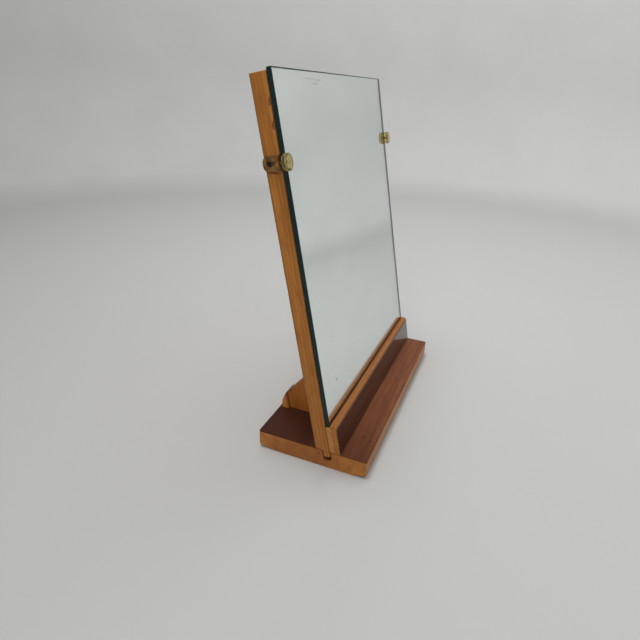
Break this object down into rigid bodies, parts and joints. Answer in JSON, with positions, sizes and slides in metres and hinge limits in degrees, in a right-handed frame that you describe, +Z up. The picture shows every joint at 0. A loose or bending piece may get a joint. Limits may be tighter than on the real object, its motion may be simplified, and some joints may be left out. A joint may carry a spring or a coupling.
{
  "type": "tabletop vanity mirror",
  "caption": "Frameless-looking tabletop mirror: green-edged glass held by two clips with clear knobs to a leaning wooden frame with a rounded ledge, on a veneered base.",
  "frame": {"origin": "middle of the base's underside, on the surface that the mirror stands on", "axes": "+Z up, +X along the base to the right as seen from the front, the mirror faces -Y and leans back to +Y"},
  "size_m": [0.3444, 0.1389, 0.4129],
  "materials": {
    "honey_wood": "satin oiled hardwood",
    "dark_veneer": "glossy reddish lacquer",
    "plywood": "raw plywood",
    "peg_wood": "raw hardwood",
    "glass": "clear, green at its edges",
    "silvering": "silvered",
    "liner": "dark felt paper",
    "brass": "dulled brass",
    "clear_plastic": "clear plastic, yellowed",
    "dark_steel": "darkened steel"
  },
  "bodies": {
    "stand": {"base_board": "honey_wood", "left_stile": "honey_wood", "right_stile": "honey_wood", "top_rail": "honey_wood", "bottom_rail": "honey_wood", "ledge_lip": "honey_wood", "glass_rest_strip": "honey_wood", "left_brace": "honey_wood", "right_brace": "honey_wood", "left_brace_block": "honey_wood", "right_brace_block": "honey_wood", "base_top_veneer": "dark_veneer", "ledge_facing": "dark_veneer", "back_panel": "plywood", "frame_dowels": "peg_wood", "brace_dowels": "peg_wood", "mirror_glass": "glass", "mirror_silvering": "silvering", "glass_liner": "liner", "left_clip_bracket": "brass", "right_clip_bracket": "brass", "panel_pins": "dark_steel", "ledge_screws": "dark_steel", "brace_screws": "dark_steel", "frame_screws": "dark_steel", "left_clip_screw": "dark_steel", "right_clip_screw": "dark_steel"},
    "left_stud": {"left_clip_stud": "brass"},
    "left_knob": {"left_clip_knob": "clear_plastic"},
    "right_stud": {"right_clip_stud": "brass"},
    "right_knob": {"right_clip_knob": "clear_plastic"}
  },
  "joints": [
    {"name": "left_knob_travel", "type": "slide", "parent": "stand", "child": "left_stud", "axis": [0, -0.9806, 0.1959], "range_m": [0, 0.004]},
    {"name": "left_knob_turn", "type": "hinge", "parent": "left_stud", "child": "left_knob", "pos_m": [-0.1642, 0.03311, 0.33596], "axis": [0, -0.9806, 0.1959], "range_deg": [0, 1800]},
    {"name": "right_knob_travel", "type": "slide", "parent": "stand", "child": "right_stud", "axis": [0, -0.9806, 0.1959], "range_m": [0, 0.004]},
    {"name": "right_knob_turn", "type": "hinge", "parent": "right_stud", "child": "right_knob", "pos_m": [0.1642, 0.03311, 0.33596], "axis": [0, -0.9806, 0.1959], "range_deg": [0, 1800]}
  ],
  "couplings": [
    {"joint": "left_knob_turn", "follows": "left_knob_travel", "rad_per_m": 7854},
    {"joint": "right_knob_turn", "follows": "right_knob_travel", "rad_per_m": 7854}
  ]
}
